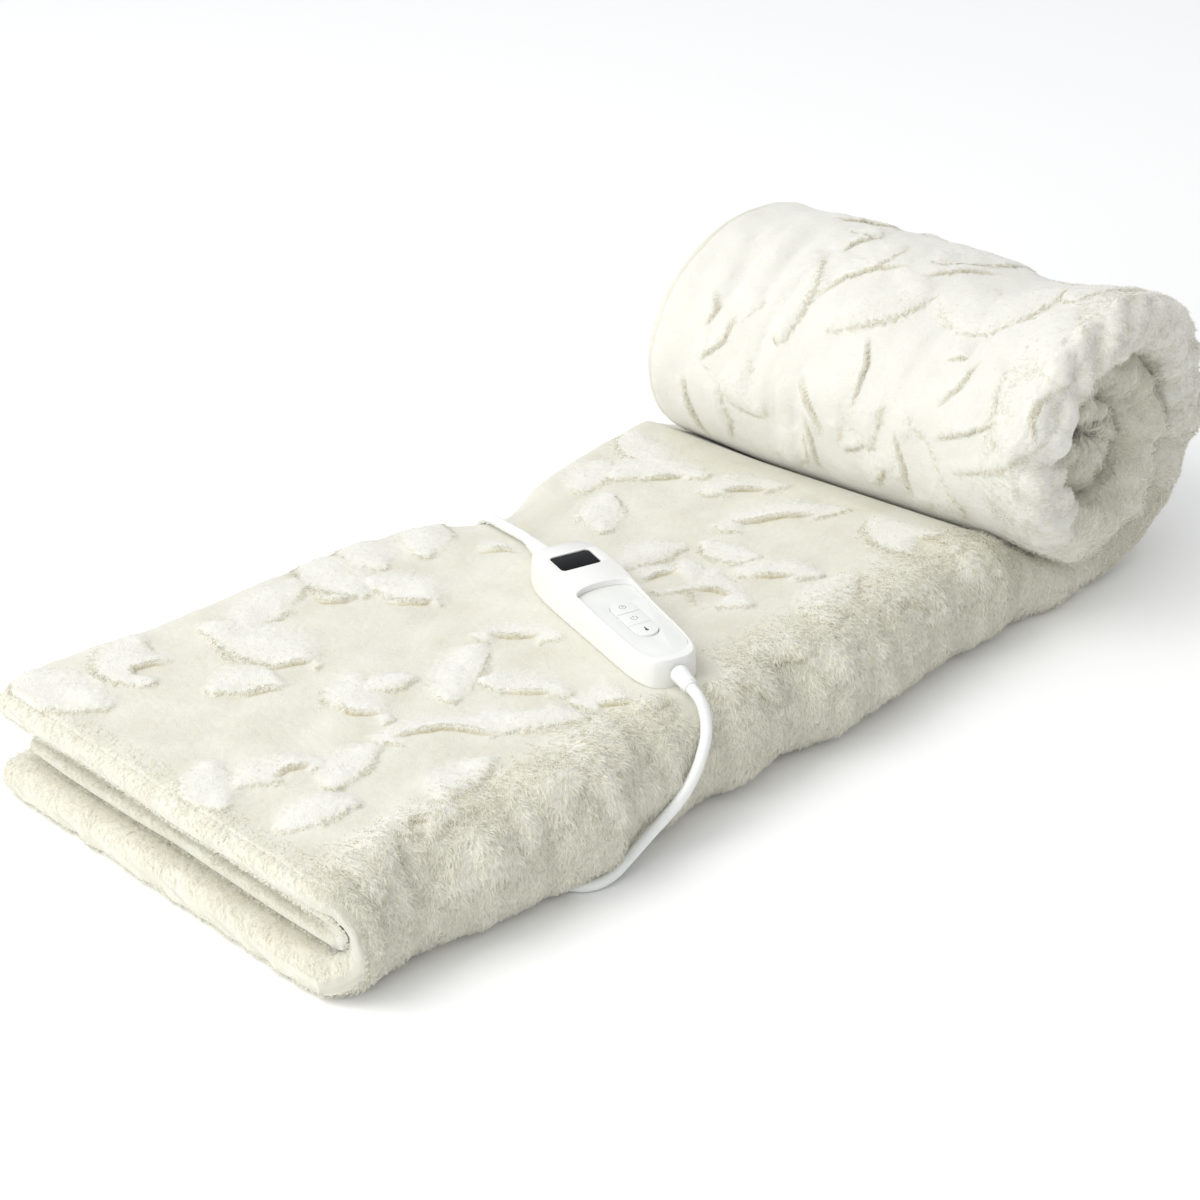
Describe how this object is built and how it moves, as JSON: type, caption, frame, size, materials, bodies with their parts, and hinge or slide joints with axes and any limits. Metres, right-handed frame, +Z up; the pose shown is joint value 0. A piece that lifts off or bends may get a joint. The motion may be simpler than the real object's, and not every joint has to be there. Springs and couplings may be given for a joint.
{
  "type": "electric heated blanket",
  "caption": "Plush electric heated blanket folded lengthwise and partly rolled, with a display handset, a short lead and a mains lead.",
  "frame": {"origin": "on the surface under the middle of the blanket's box", "axes": "+X along the folded band from its open end to the roll, +Y to the far side where the mains lead leaves, +Z up"},
  "size_m": [0.8406, 0.466, 0.215],
  "materials": {
    "ivory_plush": "deep sculpted plush pile",
    "white_abs": "satin moulded",
    "pale_panel": "satin",
    "dark_window": "polished",
    "white_pvc": "satin",
    "black_tie": "matte",
    "nickel_pins": "nickel plated"
  },
  "bodies": {
    "blanket": {"throw": "ivory_plush", "handset_case": "white_abs", "key_panel": "pale_panel", "display_window": "dark_window", "relief_near": "white_pvc", "relief_far": "white_pvc", "blanket_lead": "white_pvc", "mains_lead": "white_pvc", "mains_coil": "white_pvc", "mains_tail": "white_pvc", "lead_tie": "black_tie", "plug_boot": "white_pvc", "plug_body": "white_pvc", "plug_pin_a": "nickel_pins", "plug_pin_b": "nickel_pins"},
    "timer_key": {"key_timer": "pale_panel"},
    "power_key": {"key_power": "pale_panel"},
    "heat_key": {"key_heat": "pale_panel"}
  },
  "joints": [
    {"name": "timer_press", "type": "slide", "parent": "blanket", "child": "timer_key", "axis": [0, 0, -1], "range_m": [0, 0.0008], "stiffness_N_per_m": 300},
    {"name": "power_press", "type": "slide", "parent": "blanket", "child": "power_key", "axis": [0, 0, -1], "range_m": [0, 0.0008], "stiffness_N_per_m": 300},
    {"name": "heat_press", "type": "slide", "parent": "blanket", "child": "heat_key", "axis": [0, 0, -1], "range_m": [0, 0.0008], "stiffness_N_per_m": 300}
  ]
}
